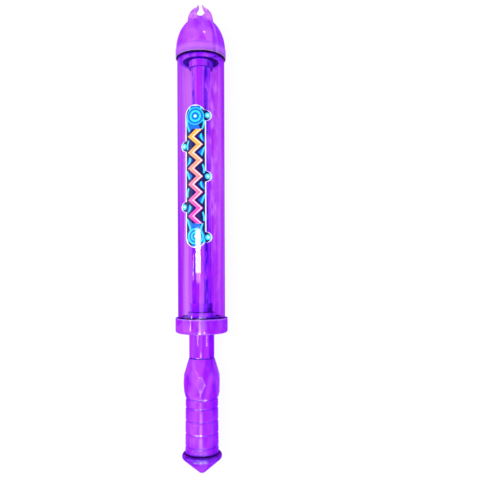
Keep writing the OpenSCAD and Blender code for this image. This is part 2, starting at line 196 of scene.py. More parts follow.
class SquirterColours(PropertyGroup):
    """Colours of the plastics, the seals and the label's inks."""

    # The deep clear colour also paints shade down the barrel's right side
    clear: tint("Clear plastic", "Deeper draw marks of the clear barrel", 0.74, 0.22, 0.98)
    clear_pale: tint("Clear plastic, pale", "Tint at the surface of the clear barrel", 1.0, 0.98, 1.0)
    clear_deep: tint("Clear plastic, deep", "Colour that a thick clear wall keeps", 0.743, 0.015, 0.985)
    rod: tint("Rod plastic", "Deeper draw marks of the plunger rod", 0.45, 0.10, 0.92)
    rod_pale: tint("Rod plastic, pale", "Colour of the plunger rod", 0.66, 0.36, 1.0)
    # Painted shade: dark streaks along the sides of the barrel, rod, piston, bumper and grip, and round the
    # pommel's rim
    shade_streak: tint("Streak", "Dark streaks along the barrel, the plunger and the bumper", 0.022, 0.001, 0.30)
    cap: tint("Cap plastic", "Colour of the nose cap", 0.42, 0.040, 0.95)
    cap_pale: tint("Cap plastic, pale", "Paler flow marks of the nose cap", 0.60, 0.15, 1.0)
    skirt: tint("Skirt", "Paler band where the cap's skirt lies close on the barrel", 0.60, 0.19, 1.0)
    tip: tint("Tip plastic", "Deeper flow marks of the nozzle tip", 0.40, 0.04, 0.93)
    tip_pale: tint("Tip plastic, pale", "Colour of the nozzle tip", 0.64, 0.24, 1.0)
    # Painted highlights: pale lines along the rims, over the tip's top and near the sides of the pieces
    rim: tint("Rim light", "Pale lines on the cap, tip, collar, sleeve and grip", 0.80, 0.42, 1.0)
    # The grip colour also draws painted shade lines on the nose cap and paints light on the pommel's sides
    grip: tint("Grip plastic", "Colour of the collar, grip and pommel", 0.36, 0.015, 0.92)
    grip_pale: tint("Grip plastic, pale", "Paler flow marks of the collar, grip and pommel", 0.47, 0.060, 1.0)
    sleeve: tint("Sleeve plastic", "Colour of the guide sleeve", 0.26, 0.005, 0.92)
    sleeve_pale: tint("Sleeve plastic, pale", "Paler draw marks of the guide sleeve", 0.38, 0.03, 1.0)
    inner: tint("Inner plastic", "Deeper flow marks of the piston", 0.36, 0.08, 0.90)
    inner_pale: tint("Inner plastic, pale", "Colour of the piston, which the barrel deepens", 0.70, 0.34, 1.0)
    seal: tint("Seal", "Deeper patches of the piston's ring and the stop bumper", 0.16, 0.012, 0.65)
    seal_pale: tint("Seal, pale", "Colour of the piston's ring and the stop bumper", 0.48, 0.12, 0.97)
    # Painted shade: the deep colour of the joints, grooves and mouths, where shade falls
    shade: tint("Shade", "Deep colour of the joints, grooves and shaded mouths", 0.002, 0.0003, 0.08)
    shade_pale: tint("Shade, pale", "Paler patches of the shaded mouths", 0.006, 0.0005, 0.34)
    # Painted shadow: the darkest joints, under the nose cap's rim and where the pommel meets the grip
    joint: tint("Joint", "Darkest joints, under the nose cap and on the pommel", 0.001, 0.0001, 0.01)
    joint_pale: tint("Joint, pale", "Paler patches of the darkest joints", 0.003, 0.0002, 0.10)
    ink_navy: tint("Navy ink", "Ground of the label and border of its ribbon", 0.008, 0.012, 0.09)
    ink_blue: tint("Blue ink", "Broad wave of the label and ground of its rings", 0.01, 0.14, 0.68)
    ink_cyan: tint("Cyan ink", "Narrow waves, rings and dots of the label", 0.03, 0.62, 0.90)
    ink_orange: tint("Orange ink", "Upper end of the label's ribbon", 0.95, 0.42, 0.05)
    ink_magenta: tint("Magenta ink", "Lower end of the label's ribbon", 0.80, 0.06, 0.48)
    vinyl: tint("Vinyl", "Border, pale line and pale dots of the label", 0.80, 0.81, 0.84)
    vinyl_pale: tint("Vinyl, pale", "Paler patches of the label's border", 0.86, 0.86, 0.88)
    floor: tint("Floor", "Colour of the floor", 0.93, 0.93, 0.93)
    bounce: tint("Bounce", "Colour of the light that the part throws round itself", 0.28, 0.012, 1.0)


# Outlines


def rounded(corners):
    """Closed outline through corners (x, r, rounding), with an arc at each rounded corner."""
    outline = []
    for i, (x, r, rounding) in enumerate(corners):
        corner = Vector((x, r))
        before = Vector(corners[i - 1][:2]) - corner
        after = Vector(corners[(i + 1) % len(corners)][:2]) - corner
        if rounding <= 0:
            outline.append((x, r))
            continue
        half = before.angle(after) / 2
        reach = min(rounding / math.tan(half), EDGE_SHARE * before.length, EDGE_SHARE * after.length)
        rounding = reach * math.tan(half)
        before.normalize()
        after.normalize()
        middle = corner + (before + after).normalized() * (rounding / math.sin(half))
        start = corner + before * reach - middle
        end = corner + after * reach - middle
        turn = start.angle_signed(end)
        outline.append(tuple(corner + before * reach * EDGE_SUPPORT))
        for step in range(EDGE_STEPS + 1):
            angle = -turn * step / EDGE_STEPS
            cos, sin = math.cos(angle), math.sin(angle)
            outline.append(
                (middle.x + start.x * cos - start.y * sin, middle.y + start.x * sin + start.y * cos)
            )
        outline.append(tuple(corner + after * reach * EDGE_SUPPORT))
    return outline


def arc(centre, half_length, half_width, start, end, steps):
    """Points of an ellipse about a centre between two angles; 0 is outwards and a quarter turn is +X."""
    x, r = centre
    points = []
    for step in range(steps + 1):
        angle = start + (end - start) * step / steps
        points.append((x + half_length * math.sin(angle), r + half_width * math.cos(angle)))
    return points


def sharp(points):
    """Points of a curve as corners that need no rounding."""
    return [(x, r, 0) for x, r in points]


def dip(away, depth, half_width):
    """How deep a round-bottomed groove cuts at a distance from its middle."""
    return depth * max(0, 1 - (away / half_width) ** 2) ** 1.5


# Meshes


def new_object(name, into, *materials):
    """Links a smooth-shaded object made of a bmesh, which it frees, and its materials."""
    mesh = bpy.data.meshes.new(name)
    into.to_mesh(mesh)
    into.free()
    obj = bpy.data.objects.new(name, mesh)
    bpy.context.scene.collection.objects.link(obj)
    for material in materials:
        mesh.materials.append(material)
    for polygon in mesh.polygons:
        polygon.use_smooth = True
    return obj


def revolve(into, outline, relief=None):
    """Adds an outline of (x, r), turned about the barrel axis, to a bmesh.

    relief(x, r, angle, i) may change the radius of the i-th point; angle 0 is up and grows towards -Y.
    """
    rings = []
    for i, (x, r) in enumerate(outline):
        if r < ON_AXIS:
            rings.append([into.verts.new((x, 0, AXIS_Z))])
            continue
        ring = []
        for step in range(TURN_STEPS):
            angle = 2 * math.pi * step / TURN_STEPS
            out = relief(x, r, angle, i) if relief else r
            ring.append(into.verts.new((x, -out * math.sin(angle), AXIS_Z + out * math.cos(angle))))
        rings.append(ring)
    faces = []
    for ring, after in zip(rings, rings[1:] + rings[:1]):
        for step in range(TURN_STEPS):
            corners = [ring[step % len(ring)], ring[(step + 1) % len(ring)]]
            corners += [after[(step + 1) % len(after)], after[step % len(after)]]
            corners = list(dict.fromkeys(corners))
            if len(corners) > 2:
                faces.append(into.faces.new(corners))
    bmesh.ops.recalc_face_normals(into, faces=faces)
    return faces


def turned(name, outline, *materials, relief=None, shaded=None):
    """Object of one closed outline turned about the barrel axis.

    shaded(x, r) tells the faces of the outline that take the second material.
    """
    into = bmesh.new()
    for face in revolve(into, outline, relief):
        middle = face.calc_center_median()
        if shaded and shaded(middle.x, math.hypot(middle.y, middle.z - AXIS_Z)):
            face.material_index = 1
    return new_object(name, into, *materials)


def fit(obj, body, slot, *nodes):
    """Sets an object on its body, in place of the CAD nodes that it stands for."""
    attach(obj, body)
    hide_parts(*nodes)


# Shader groups


class Nodes:
    """Node tree, emptied, with short ways to add the nodes that the looks need."""

    def __init__(self, tree):
        self.tree = tree
        tree.nodes.clear()

    def add(self, kind, inputs=None, **values):
        """Adds a node, sets its values, sets or links its inputs and returns its outputs."""
        node = self.tree.nodes.new(kind)
        for name, value in values.items():
            setattr(node, name, value)
        for name, value in (inputs or {}).items():
            if isinstance(value, bpy.types.NodeSocket):
                self.tree.links.new(value, node.inputs[name])
            else:
                node.inputs[name].default_value = value
        return node.outputs

    def calc(self, operation, *values):
        """Result of a math node on sockets or numbers."""
        return self.add("ShaderNodeMath", dict(enumerate(values)), operation=operation)[0]

    def mix(self, factor, first, second, kind="RGBA"):
        """Blend of two colours, or of two numbers with kind FLOAT."""
        inputs = {"Factor": factor, "A": first, "B": second}
        return self.add("ShaderNodeMix", inputs, data_type=kind)["Result"]

    def rise(self, value, low, high):
        """Value mapped to run from 0 at low to 1 at high."""
        return self.add("ShaderNodeMapRange", {"Value": value, "From Min": low, "From Max": high})["Result"]

    def near(self, away, reach, strength):
        """Strength that fades smoothly to nothing at a reach from where away is 0."""
        distance = self.calc("ABSOLUTE", away)
        inputs = {"Value": distance, "From Min": reach, "From Max": 0.0, "To Max": strength}
        return self.add("ShaderNodeMapRange", inputs, interpolation_type="SMOOTHSTEP")["Result"]

    def place(self):
        """Place on the part, in its own coordinates."""
        return self.add("ShaderNodeTexCoord")["Object"]

    def split(self, vector):
        """X, Y and Z of a vector."""
        return self.add("ShaderNodeSeparateXYZ", {"Vector": vector})

    def drawn(self, share):
        """Place with its length squeezed to a share, so that marks draw out along the part."""
        squeeze = self.add("ShaderNodeCombineXYZ", {"X": share, "Y": 1.0, "Z": 1.0})[0]
        return self.add("ShaderNodeVectorMath", {0: self.place(), 1: squeeze}, operation="MULTIPLY")[0]

    def noise(self, place, scale, detail, **more):
        """Noise from 0 to 1 at a place."""
        inputs = {"Vector": place, "Scale": scale, "Detail": detail, **more}
        return self.add("ShaderNodeTexNoise", inputs)["Fac"]

    def shared(self, name, **inputs):
        """Outputs of a shader group, which is built on its first use."""
        tree = bpy.data.node_groups.get(name) or SHADER_GROUPS[name](name)
        return self.add("ShaderNodeGroup", inputs, node_tree=tree)

    def close(self, **outputs):
        """Links the outputs of a shader group and returns its tree."""
        self.add("NodeGroupOutput", outputs)
        return self.tree


def new_group(name, inputs, *outputs):
    """Nodes and inputs of a new shader group, whose inputs are colours or numbers as their defaults are."""
    tree = bpy.data.node_groups.new(name, "ShaderNodeTree")
    for socket, default in inputs.items():
        kind = "NodeSocketColor" if isinstance(default, tuple) else "NodeSocketFloat"
        tree.interface.new_socket(socket, in_out="INPUT", socket_type=kind).default_value = default
    for socket in outputs:
        kind = "NodeSocketColor" if socket == "Colour" else "NodeSocketFloat"
        tree.interface.new_socket(socket, in_out="OUTPUT", socket_type=kind)
    nodes = Nodes(tree)
    return nodes, nodes.add("NodeGroupInput")


# Colour of a group's input until a material sets it
VIOLET = (0.5, 0.1, 1.0, 1.0)


def flow_group(name):
    """Flow marks of moulded plastic: soft streaks from one colour to a paler one along the part."""
    nodes, given = new_group(
        name,
        {"Colour": VIOLET, "Pale": VIOLET, "Scale": 40.0, "Stretch": 0.25, "Contrast": 0.5, "Balance": 0.35},
        "Colour",
    )
    cloud = nodes.noise(nodes.drawn(given["Stretch"]), given["Scale"], 3.0, Distortion=0.6)
    strong = nodes.calc("MULTIPLY", nodes.calc("SUBTRACT", cloud, 0.5), given["Contrast"])
    mask = nodes.add("ShaderNodeClamp", {"Value": nodes.calc("MULTIPLY_ADD", strong, 3.0, given["Balance"])})
    return nodes.close(Colour=nodes.mix(mask[0], given["Colour"], given["Pale"]))


def wear_group(name):
    """Handling marks: fine scuffs along the part, faint waves in the surface and the roughness they leave."""
    nodes, given = new_group(name, {"Roughness": 0.05, "Scuff": 0.1, "Wave": 0.3}, "Roughness", "Height")
    hair = nodes.noise(nodes.drawn(0.06), 220.0, 5.0, Roughness=0.7)
    patch = nodes.noise(nodes.place(), 28.0, 2.0)
    scuffs = nodes.calc("MULTIPLY", nodes.rise(hair, 0.55, 0.78), nodes.rise(patch, 0.45, 0.7))
    rough = nodes.calc("MULTIPLY_ADD", scuffs, given["Scuff"], given["Roughness"])
    wave = nodes.calc("MULTIPLY", nodes.noise(nodes.place(), 55.0, 1.0), given["Wave"])
    return nodes.close(Roughness=rough, Height=nodes.calc("MULTIPLY_ADD", scuffs, -0.05, wave))


def band_group(name):
    """Colour round the part about one place along it, in millimetres, that fades over its reach."""
    nodes, given = new_group(
        name, {"Colour": VIOLET, "Mark": VIOLET, "Place": 0.0, "Reach": 1.0, "Strength": 1.0}, "Colour"
    )
    along = nodes.calc("MULTIPLY", nodes.split(nodes.place())["X"], 1 / MM)
    share = nodes.near(nodes.calc("SUBTRACT", along, given["Place"]), given["Reach"], given["Strength"])
    return nodes.close(Colour=nodes.mix(share, given["Colour"], given["Mark"]))


def line_group(name):
    """Broken line along the part at one turn about its axis, in degrees from the top towards -Y, where the
    pieces paint shade and highlights.
    """
    nodes, given = new_group(
        name, {"Colour": VIOLET, "Mark": VIOLET, "Place": 0.0, "Reach": 5.0, "Strength": 1.0}, "Colour"
    )
    place = nodes.split(nodes.place())
    right = nodes.calc("MULTIPLY", place["Y"], -1.0)
    turn = nodes.calc("ARCTAN2", right, nodes.calc("SUBTRACT", place["Z"], AXIS_Z))
    away = nodes.calc("SUBTRACT", nodes.calc("DEGREES", turn), given["Place"])
    broken = nodes.rise(nodes.noise(nodes.drawn(0.35), 210.0, 3.0), 0.36, 0.54)
    share = nodes.calc("MULTIPLY", nodes.near(away, given["Reach"], given["Strength"]), broken)
    return nodes.close(Colour=nodes.mix(share, given["Colour"], given["Mark"]))


def wave_group(name):
    """Mask of one wavy band of the label, along U and at a height V, both in millimetres."""
    nodes, given = new_group(
        name,
        {"U": 0.0, "V": 0.0, "Centre": 0.0, "Width": 1.0, "Swing": 1.0, "Pitch": 20.0, "Phase": 0.0},
        "Mask",
    )
    turns = nodes.calc("ADD", nodes.calc("DIVIDE", given["U"], given["Pitch"]), given["Phase"])
    sine = nodes.calc("SINE", nodes.calc("MULTIPLY", turns, 2 * math.pi))
    crest = nodes.calc("MULTIPLY_ADD", sine, given["Swing"], given["Centre"])
    away = nodes.calc("ABSOLUTE", nodes.calc("SUBTRACT", given["V"], crest))
    return nodes.close(Mask=nodes.calc("LESS_THAN", away, nodes.calc("MULTIPLY", given["Width"], 0.5)))


def zigzag_group(name):
    """Mask of one zigzag ribbon of the label, between two places along U, in millimetres."""
    nodes, given = new_group(
        name,
        {
            "U": 0.0, "V": 0.0, "Start": 0.0, "End": 100.0, "Centre": 0.0, "Width": 1.0, "Swing": 1.0,
            "Pitch": 20.0,
        },
        "Mask",
    )
    half = nodes.calc("MULTIPLY", given["Pitch"], 0.5)
    tooth = nodes.calc("DIVIDE", nodes.calc("PINGPONG", given["U"], half), half)
    swing = nodes.calc("MULTIPLY", nodes.calc("SUBTRACT", tooth, 0.5), given["Swing"])
    away = nodes.calc("SUBTRACT", nodes.calc("SUBTRACT", given["V"], given["Centre"]), swing)
    half_width = nodes.calc("MULTIPLY", given["Width"], 0.5)
    inside = nodes.calc("LESS_THAN", nodes.calc("ABSOLUTE", away), half_width)
    begun = nodes.calc("GREATER_THAN", given["U"], given["Start"])
    on = nodes.calc("MULTIPLY", begun, nodes.calc("LESS_THAN", given["U"], given["End"]))
    return nodes.close(Mask=nodes.calc("MULTIPLY", inside, on))


def ripple_group(name):
    """Mask of rings about one point of the label, out to a radius, in millimetres."""
    nodes, given = new_group(
        name,
        {"U": 0.0, "V": 0.0, "Along": 0.0, "Across": 0.0, "Radius": 8.0, "Pitch": 3.0, "Width": 1.0},
        "Mask",
    )
    along = nodes.calc("SUBTRACT", given["U"], given["Along"])
    across = nodes.calc("SUBTRACT", given["V"], given["Across"])
    reach = nodes.add("ShaderNodeCombineXYZ", {"X": along, "Y": across})[0]
    away = nodes.add("ShaderNodeVectorMath", {0: reach}, operation="LENGTH")["Value"]
    ring = nodes.calc("LESS_THAN", nodes.calc("FLOORED_MODULO", away, given["Pitch"]), given["Width"])
    return nodes.close(Mask=nodes.calc("MULTIPLY", ring, nodes.calc("LESS_THAN", away, given["Radius"])))


SHADER_GROUPS = {
    "moulded_flow": flow_group, "handling_marks": wear_group, "colour_band": band_group,
    "draw_line": line_group, "wave_band": wave_group, "zigzag_band": zigzag_group, "ripple": ripple_group,
}


# Materials


# Looks of each plastic: its colours, then the scale, stretch, contrast and balance of its flow marks, its
# roughness, how much scuffs add to that, the height of its surface waves, how clear it is and the strength of
# its painted glow, an emission of its own colour that stands in for light scattered inside it
PLASTICS = {
    "barrel": ("clear", 110.0, 0.04, 2.4, 0.72, 0.02, 0.10, 0.5, 1.0, 0.0),
    "rod": ("rod", 130.0, 0.05, 1.6, 0.6, 0.05, 0.10, 0.5, 0.5, 0.35),
    "tip": ("tip", 320.0, 0.8, 1.8, 0.5, 0.05, 0.10, 0.5, 0.6, 0.15),
    "cap": ("cap", 70.0, 0.6, 1.4, 0.35, 0.04, 0.05, 0.5, 0.55, 0.15),
    "collar": ("grip", 110.0, 0.6, 1.8, 0.32, 0.05, 0.08, 0.5, 0.55, 0.15),
    "sleeve": ("sleeve", 140.0, 0.05, 1.8, 0.4, 0.02, 0.04, 0.5, 0.25, 0.2),
    "grip": ("grip", 75.0, 0.45, 1.6, 0.35, 0.03, 0.04, 0.8, 0.5, 0.15),
    "piston": ("inner", 90.0, 0.3, 1.4, 0.6, 0.08, 0.15, 0.4, 0.3, 0.2),
    "seal": ("seal", 70.0, 1.0, 1.4, 0.6, 0.20, 0.20, 0.4, 0.2, 0.25),
    "shade": ("shade", 150.0, 1.0, 1.5, 0.20, 0.08, 0.04, 0.4, 0.0, 0.6),
    "joint": ("joint", 150.0, 1.0, 1.5, 0.20, 0.08, 0.04, 0.4, 0.0, 0.0),
    "vinyl": ("vinyl", 120.0, 1.0, 0.4, 0.35, 0.20, 0.20, 0.3, 0.0, 0.0),
}
# Depth that brings out the colour of clear plastic, and the power of e by which it dims what isn't kept
CLEAR_DEPTH = 4.8 * MM
CLEAR_DIMMING = 2.7
PLASTIC_IOR = 1.45
VINYL_IOR = 1.5
# How strongly the handling marks turn the surface
MARK_RELIEF = 0.03


def opaque(colour):
    """Colour with full alpha."""
    return (*colour, 1.0)


def new_material(name):
    """Material and its empty nodes."""
    material = bpy.data.materials.new(name)
    material.use_nodes = True
    return material, Nodes(material.node_tree)


def marked(nodes, colour, roughness, scuff, wave, more):
    """Surface of a colour with its handling marks and more inputs of its own."""
    marks = nodes.shared("handling_marks", Roughness=roughness, Scuff=scuff, Wave=wave)
    bump = {"Strength": MARK_RELIEF, "Distance": MM, "Height": marks["Height"]}
    relief = nodes.add("ShaderNodeBump", bump)[0]
    inputs = {"Base Color": colour, "Roughness": marks["Roughness"], "Normal": relief, **more}
    return nodes.add("ShaderNodeBsdfPrincipled", inputs)[0]


def moulded(name, plastic, bands=(), lines=(), depth=None):
    """Material of a moulded piece: its flow and handling marks, its painted glow, and bands round it and
    lines along it, mostly painted shade and highlights.

    Bands are (colour, place in metres, reach in millimetres, strength), and lines are (colour, turn, reach,
    strength) in degrees. With a depth the plastic is clear through, and that depth brings out its colour.
    """
    colours = bpy.context.scene.squirter_colours
    tone, scale, stretch, contrast, balance, roughness, scuff, wave, clearness, painted_glow = PLASTICS[plastic]
    material, nodes = new_material(name)
    colour = nodes.shared(
        "moulded_flow", Colour=opaque(getattr(colours, tone)), Pale=opaque(getattr(colours, f"{tone}_pale")),
        Scale=scale, Stretch=stretch, Contrast=contrast, Balance=balance,
    )["Colour"]
    for group, marks, unit in (("colour_band", bands, MM), ("draw_line", lines, 1)):
        for mark, place, reach, strength in marks:
            colour = nodes.shared(
                group, Colour=colour, Mark=opaque(getattr(colours, mark)), Place=place / unit, Reach=reach,
                Strength=strength,
            )["Colour"]
    # Painted glow: the piece emits its own colour, which stands in for light scattered inside the plastic and
    # lifts its shade
    glow = {"Emission Color": colour, "Emission Strength": painted_glow}
    more = {"Transmission Weight": clearness, "IOR": PLASTIC_IOR, **glow}
    output = {"Surface": marked(nodes, colour, roughness, scuff, wave, more)}
    if depth:
        deep = {"Color": opaque(colours.clear_deep), "Density": CLEAR_DIMMING / depth}
        output["Volume"] = nodes.add("ShaderNodeVolumeAbsorption", deep)[0]
    nodes.add("ShaderNodeOutputMaterial", output)
    return material


def dark(plastic):
    """Deep material of the painted shade in mouths or of the painted shadow in joints, shared by the pieces.
    """
    return bpy.data.materials.get(f"deep_{plastic}") or moulded(f"deep_{plastic}", plastic)


def label_print(name, total, lobes):
    """Printed vinyl: waves, rings, dots and a zigzag ribbon, placed by the label's UVs in millimetres."""
    colours = bpy.context.scene.squirter_colours
    navy, blue, cyan, magenta, orange = (
        opaque(getattr(colours, f"ink_{ink}")) for ink in ("navy", "blue", "cyan", "magenta", "orange")
    )
    white = opaque(colours.vinyl)
    material, nodes = new_material(name)
    place = nodes.split(nodes.add("ShaderNodeUVMap", uv_map="label")[0])
    along = nodes.calc("MULTIPLY", place["X"], 1 / MM)
    across = nodes.calc("MULTIPLY", place["Y"], 1 / MM)
    # A ring wider than the label fills its radius as a dot
    full = 100.0

    def mask(group, **values):
        return nodes.shared(group, U=along, V=across, **values)["Mask"]

    def rings(middle, side, reach, pitch=full, width=full):
        return mask("ripple", Along=middle, Across=side, Radius=reach, Pitch=pitch, Width=width)

    ribbon = nodes.mix(nodes.rise(along, 0.25 * total, 0.75 * total), magenta, orange)
    run = {"Start": 0.17 * total, "End": 0.83 * total, "Pitch": total / 9, "Swing": 8.0}
    # Each layer of ink covers the ones before it
    layers = [
        (mask("wave_band", Centre=0.0, Width=12.0, Swing=3.0, Pitch=44.0, Phase=0.1), blue),
        (mask("wave_band", Centre=6.4, Width=1.6, Swing=1.4, Pitch=22.0, Phase=0.0), cyan),
        (mask("wave_band", Centre=-6.4, Width=1.6, Swing=1.4, Pitch=22.0, Phase=0.5), cyan),
        (mask("zigzag_band", Centre=0.0, Width=13.0, **run), navy),
        (mask("zigzag_band", Centre=0.0, Width=6.0, **run), ribbon),
        (mask("zigzag_band", Centre=1.6, Width=0.9, **run), white),
    ]
    for end, pitch in ((0.08 * total, 3.0), (0.92 * total, 3.6)):
        layers += [
            (rings(end, 0.0, 8.0), blue),
            (rings(end, 0.0, 8.0, pitch, 0.5 * pitch), cyan),
            (rings(end, 0.0, 1.0), white),
        ]
    for middle, side in lobes:
        layers += [(rings(middle, side, 2.6), cyan), (rings(middle, side, 1.0), white)]
    ink = navy
    for cover, colour in layers:
        ink = nodes.mix(cover, ink, colour)
    surface = marked(nodes, ink, 0.05, 0.15, 0.3, {"IOR": VINYL_IOR})
    nodes.add("ShaderNodeOutputMaterial", {"Surface": surface})
    return material


# Pieces


class SQUIRTER_OT_barrel(Operator):
    """Clear barrel tube and plunger rod"""

    bl_idname = "squirter.barrel"
    bl_label = "Barrel and rod"

    def execute(self, context):
        sizes = context.scene.squirter_sizes
        collar_rim = span("end_collar")[0] + sizes.collar_h
        cap_rim = span("nose_cap")[0]
        joint = (cap_rim - sizes.joint_shade, cap_rim + sizes.lead_depth)
        # Painted shade in the joint with the collar and under the nose cap's rim
        painted_joint_shade = [("shade", collar_rim, 1.2, 0.95), ("shade", joint[0], 0.9, 0.7)]
        # Painted shade down the barrel's right side, with a thin darker streak in it
        marks = [("clear", 33, 38, 1.0), ("shade_streak", 33, 3, 0.3)]
        clear = moulded("barrel_plastic", "barrel", painted_joint_shade, marks, CLEAR_DEPTH)
        self.tube(sizes, "barrel_tube", "barrel", sizes.barrel_wall, clear, joint)
        # The rod is paler towards the piston and deeper towards the collar
        drawn = [("rod_pale", 140 * MM, 70.0, 0.6), ("rod", -45 * MM, 60.0, 0.6)]
        # Painted shade: dark bands at the rod's sides and right of its middle, where refraction darkens it
        painted_shade_streaks = [
            ("shade_streak", 35, 26, 1.0), ("shade_streak", -46, 24, 1.0), ("shade_streak", 72, 16, 0.9), ("shade_streak", 7, 5, 0.4),
        ]
        tinted = moulded("rod_plastic", "rod", drawn, painted_shade_streaks)
        self.tube(sizes, "plunger_rod", "plunger", sizes.rod_wall, tinted)
        return {"FINISHED"}

    def tube(self, sizes, node, body, wall, material, joint=()):
        """Tube in place of a CAD node, with painted shadow outside between the two ends of a covered joint.
        """
        low, high = span(node)
        outer = radius(node)
        inner = outer - wall
        corners = [(low, inner, sizes.edge), (low, outer, sizes.edge)]
        corners += [(x, outer, 0) for x in joint]
        corners += [(high, outer, sizes.edge), (high, inner, sizes.edge)]
        materials = [material, dark("joint")] if joint else [material]
        obj = turned(
            f"clear_{node}", rounded(corners), *materials,
            shaded=lambda x, r: joint and joint[0] < x < joint[1] and r > outer - wall / 2,
        )
        fit(obj, body, "clear_violet", node)


class SQUIRTER_OT_nose(Operator):
    """Hollow bullet nose with its skirt over the barrel's end"""

    bl_idname = "squirter.nose"
    bl_label = "Nose cap"

    def execute(self, context):
        sizes = context.scene.squirter_sizes
        rim = span("nose_cap")[0]
        band = rim + sizes.skirt_len
        skirt = radius("nose_cap")
        nose = skirt - sizes.nose_step
        hollow = nose - sizes.nose_wall
        hollow_height = sizes.nose_height - sizes.nose_wall
        pocket = radius("barrel_tube") + sizes.glue_gap
        bore = sizes.spigot_r + sizes.glue_gap
        boss = bore + sizes.socket_wall
        boss_end = band + sizes.nose_height - sizes.spigot_len
        # The step's foot is a little undercut, and the curve starts just past it
        foot = (band + 0.15 * MM, nose - HAIR, 0)
        curve_start = math.radians(2)
        outer_steps, inner_steps = 40, 32
        corners = [(rim, pocket + sizes.skirt_lead, FINE), (rim, skirt, THIN), (band, skirt, THIN), foot]
        corners += sharp(
            arc((band, 0), sizes.nose_height, nose, curve_start, math.acos(bore / nose), outer_steps)
        )
        corners += [(boss_end, bore, FINE), (boss_end, boss, THIN)]
        corners += sharp(arc((band, 0), hollow_height, hollow, math.acos(boss / hollow), 0, inner_steps))
        corners += [(band, pocket, FINE), (rim + sizes.lead_depth, pocket, FINE)]
        skirt_middle = rim + sizes.skirt_len / 2
        # Painted highlight along the rim, and painted shade at the step up to the nose
        bands = [("skirt", skirt_middle, 8.0, 0.9), ("shade", band, 0.6, 0.3), ("rim", rim, 0.9, 0.7)]
        # Painted highlights near both sides of the nose, with darker painted lines just inside them
        lines = [("rim", -76, 14, 0.6), ("grip", -60, 5, 0.6), ("rim", 44, 5, 0.4), ("grip", 36, 6, 0.7)]
        # The skirt's lead-in takes the painted shadow of the joint
        obj = turned(
            "nose_shell", rounded(corners), moulded("nose_plastic", "cap", bands, lines), dark("joint"),
            shaded=lambda x, r: x < rim + sizes.lead_depth and r < pocket + 0.9 * sizes.skirt_lead,
        )
        fit(obj, "barrel", "cap_violet", "nose_cap")
        return {"FINISHED"}


class SQUIRTER_OT_tip(Operator):
    """Clear nozzle tip with its keyhole window and its spigot"""

    bl_idname = "squirter.tip"
    bl_label = "Nozzle tip"

    def execute(self, context):
        sizes = context.scene.squirter_sizes
        into = self.lug(sizes)
        self.spigot(into, sizes)
        # Painted highlight over the top of the tip
        bands = [("rim", span("nozzle_tip")[1], 7.0, 0.8)]
        obj = new_object("nozzle_lug", into, moulded("tip_plastic", "tip", bands))
        # The two flats, which face straight up and down, aren't shaded smooth
        facing = 0.999
        for polygon in obj.data.polygons:
            polygon.use_smooth = abs(polygon.normal.z) < facing
        fit(obj, "barrel", "clear_violet", "nozzle_tip")
        return {"FINISHED"}

    def lug(self, sizes):
        """The lug as a bmesh: its outline drawn flat, then given its thickness and round edges."""
        band = span("nose_cap")[0] + sizes.skirt_len
        nose = radius("nose_cap") - sizes.nose_step
        half = radius("nozzle_tip")
        top = span("nozzle_tip")[1]
        eye_x, eye_r = EYE["pos_m"][0], EYE["dims"]["r_mm"] * MM

        def nose_height(y):
            """Height of the nose's surface at a distance from the axis."""
            return band + sizes.nose_height * math.sqrt(1 - (y / nose) ** 2)

        # Outer edge from the base up to the slot's mouth, then down round one half of the eye
        side_steps, eye_steps, foot_steps = 24, 16, 10
        base = nose_height(half)
        nipple = math.acos(sizes.nipple_r / half)
        side = arc((base, 0), top - sizes.nipple_h - base, half, 0, nipple, side_steps)
        side += [(top, sizes.nipple_r), (top, sizes.slot_top_w / 2)]
        side.append((top - sizes.slot_taper, sizes.slot_w / 2))
        slot = math.asin(sizes.slot_w / 2 / eye_r)
        side += arc((eye_x, 0), eye_r, eye_r, math.pi / 2 - slot, -math.pi / 2, eye_steps)
        # The base lies just under the nose's surface
        sunk = 1.2 * MM
        across = [half * (1 - step / foot_steps) for step in range(2 * foot_steps + 1)]
        foot = [(nose_height(y) - sunk, -y) for y in across]
        outline = side[:-1] + [(x, -y) for x, y in reversed(side)] + foot
        curve = bpy.data.curves.new("nozzle_lug", "CURVE")
        curve.dimensions = "2D"
        curve.fill_mode = "BOTH"
        curve.extrude = sizes.tip_flats / 2 - sizes.tip_edge
        curve.bevel_depth = sizes.tip_edge
        curve.bevel_resolution = 4
        curve.offset = -sizes.tip_edge
        spline = curve.splines.new("POLY")
        spline.points.add(len(outline) - 1)
        spline.use_cyclic_u = True
        for point, (x, y) in zip(spline.points, outline):
            point.co = (x, y, 0, 1)
        flat = bpy.data.objects.new("nozzle_lug_outline", curve)
        bpy.context.scene.collection.objects.link(flat)
        mesh = bpy.data.meshes.new_from_object(flat.evaluated_get(bpy.context.evaluated_depsgraph_get()))
        bpy.data.objects.remove(flat)
        into = bmesh.new()
        into.from_mesh(mesh)
        bpy.data.meshes.remove(mesh)
        for vertex in into.verts:
            vertex.co.z += AXIS_Z
        return into

    def spigot(self, into, sizes):
        """Adds the hollow spigot that seats in the nose, with the jet orifice in its top."""
        low = span("nozzle_tip")[0]
        top = low + sizes.spigot_len
        roof = 1.2 * MM
        under = top - roof
        corners = [
            (low, sizes.passage_r, FINE), (low, sizes.spigot_r, THIN), (top, sizes.spigot_r, THIN),
            (top, sizes.orifice_r, FINE), (under, sizes.orifice_r, FINE), (under, sizes.passage_r, FINE),
        ]
        revolve(into, rounded(corners))


